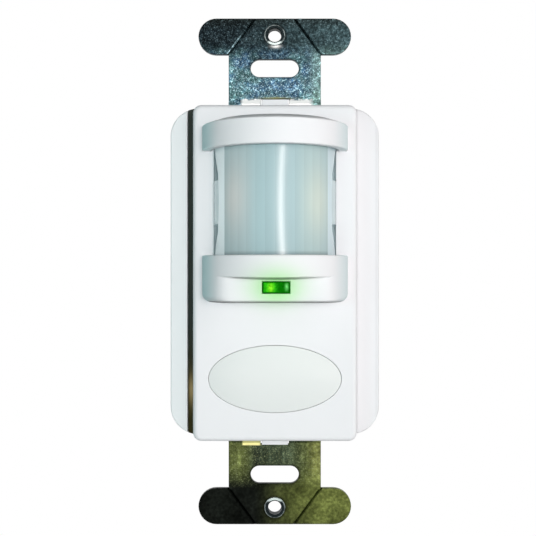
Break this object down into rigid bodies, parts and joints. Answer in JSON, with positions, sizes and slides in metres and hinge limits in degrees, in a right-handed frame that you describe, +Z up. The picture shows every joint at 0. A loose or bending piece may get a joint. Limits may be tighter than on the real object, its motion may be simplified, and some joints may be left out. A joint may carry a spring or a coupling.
{
  "type": "motion sensor light switch",
  "caption": "Wall-box light switch with a half-round passive infrared lens between visors, a status light, an oval push button and a steel strap for box and plate screws.",
  "frame": {"origin": "middle of the strap ears' rear face, halfway between the two box screw slots, on the wall plane", "axes": "+Z up along the strap, -Y out of the wall towards the room, +X to the right as seen from the room"},
  "size_m": [0.0426, 0.0428, 0.1036],
  "materials": {
    "zinc_steel": "dull zinc plate with a faint passivation tint",
    "white_plastic": "satin moulded white",
    "wing_plastic": "satin moulded white",
    "lens_plastic": "milky, smooth outside, sectors inside",
    "button_plastic": "satin moulded white, a little greyer",
    "black_plastic": "satin black",
    "light_pipe": "clear pipe lit green",
    "switch_steel": "bright plate",
    "chip_ceramic": "white chip package",
    "circuit_board": "green solder mask",
    "sensor_filter": "dark infrared filter",
    "contact_brass": "plated contact",
    "film_yellow": "yellow box",
    "capacitor_sleeve": "shrink sleeve",
    "varistor_blue": "dipped coat",
    "resistor_grey": "flameproof coat",
    "screw_steel": "zinc plate"
  },
  "bodies": {
    "base": {"mounting_strap": "zinc_steel", "front_cover": "white_plastic", "mid_frame": "wing_plastic", "rear_housing": "wing_plastic", "fresnel_lens": "lens_plastic", "lens_retainer": "black_plastic", "light_pipe": "light_pipe", "tact_switch": "switch_steel", "status_led": "chip_ceramic", "sensor_board": "circuit_board", "pir_spacer": "button_plastic", "pir_can": "switch_steel", "pir_filter": "sensor_filter", "pir_leads": "contact_brass", "microcontroller": "black_plastic", "power_board": "circuit_board", "relay": "black_plastic", "film_capacitor": "film_yellow", "bulk_capacitor": "capacitor_sleeve", "surge_varistor": "varistor_blue", "bridge_rectifier": "black_plastic", "fusible_resistor": "resistor_grey", "link_header": "black_plastic", "link_pins": "contact_brass", "board_screws": "screw_steel", "housing_screws": "screw_steel"},
    "button": {"push_button": "button_plastic"},
    "plunger": {"tact_plunger": "black_plastic"}
  },
  "joints": [
    {"name": "button_press", "type": "slide", "parent": "base", "child": "button", "axis": [0, 1, 0], "range_m": [0, 0.0006], "stiffness_N_per_m": 2500, "springref_m": -0.0004},
    {"name": "plunger_press", "type": "slide", "parent": "base", "child": "plunger", "axis": [0, 1, 0], "range_m": [0, 0.0006]}
  ],
  "couplings": [
    {"joint": "plunger_press", "follows": "button_press", "ratio": 1}
  ]
}
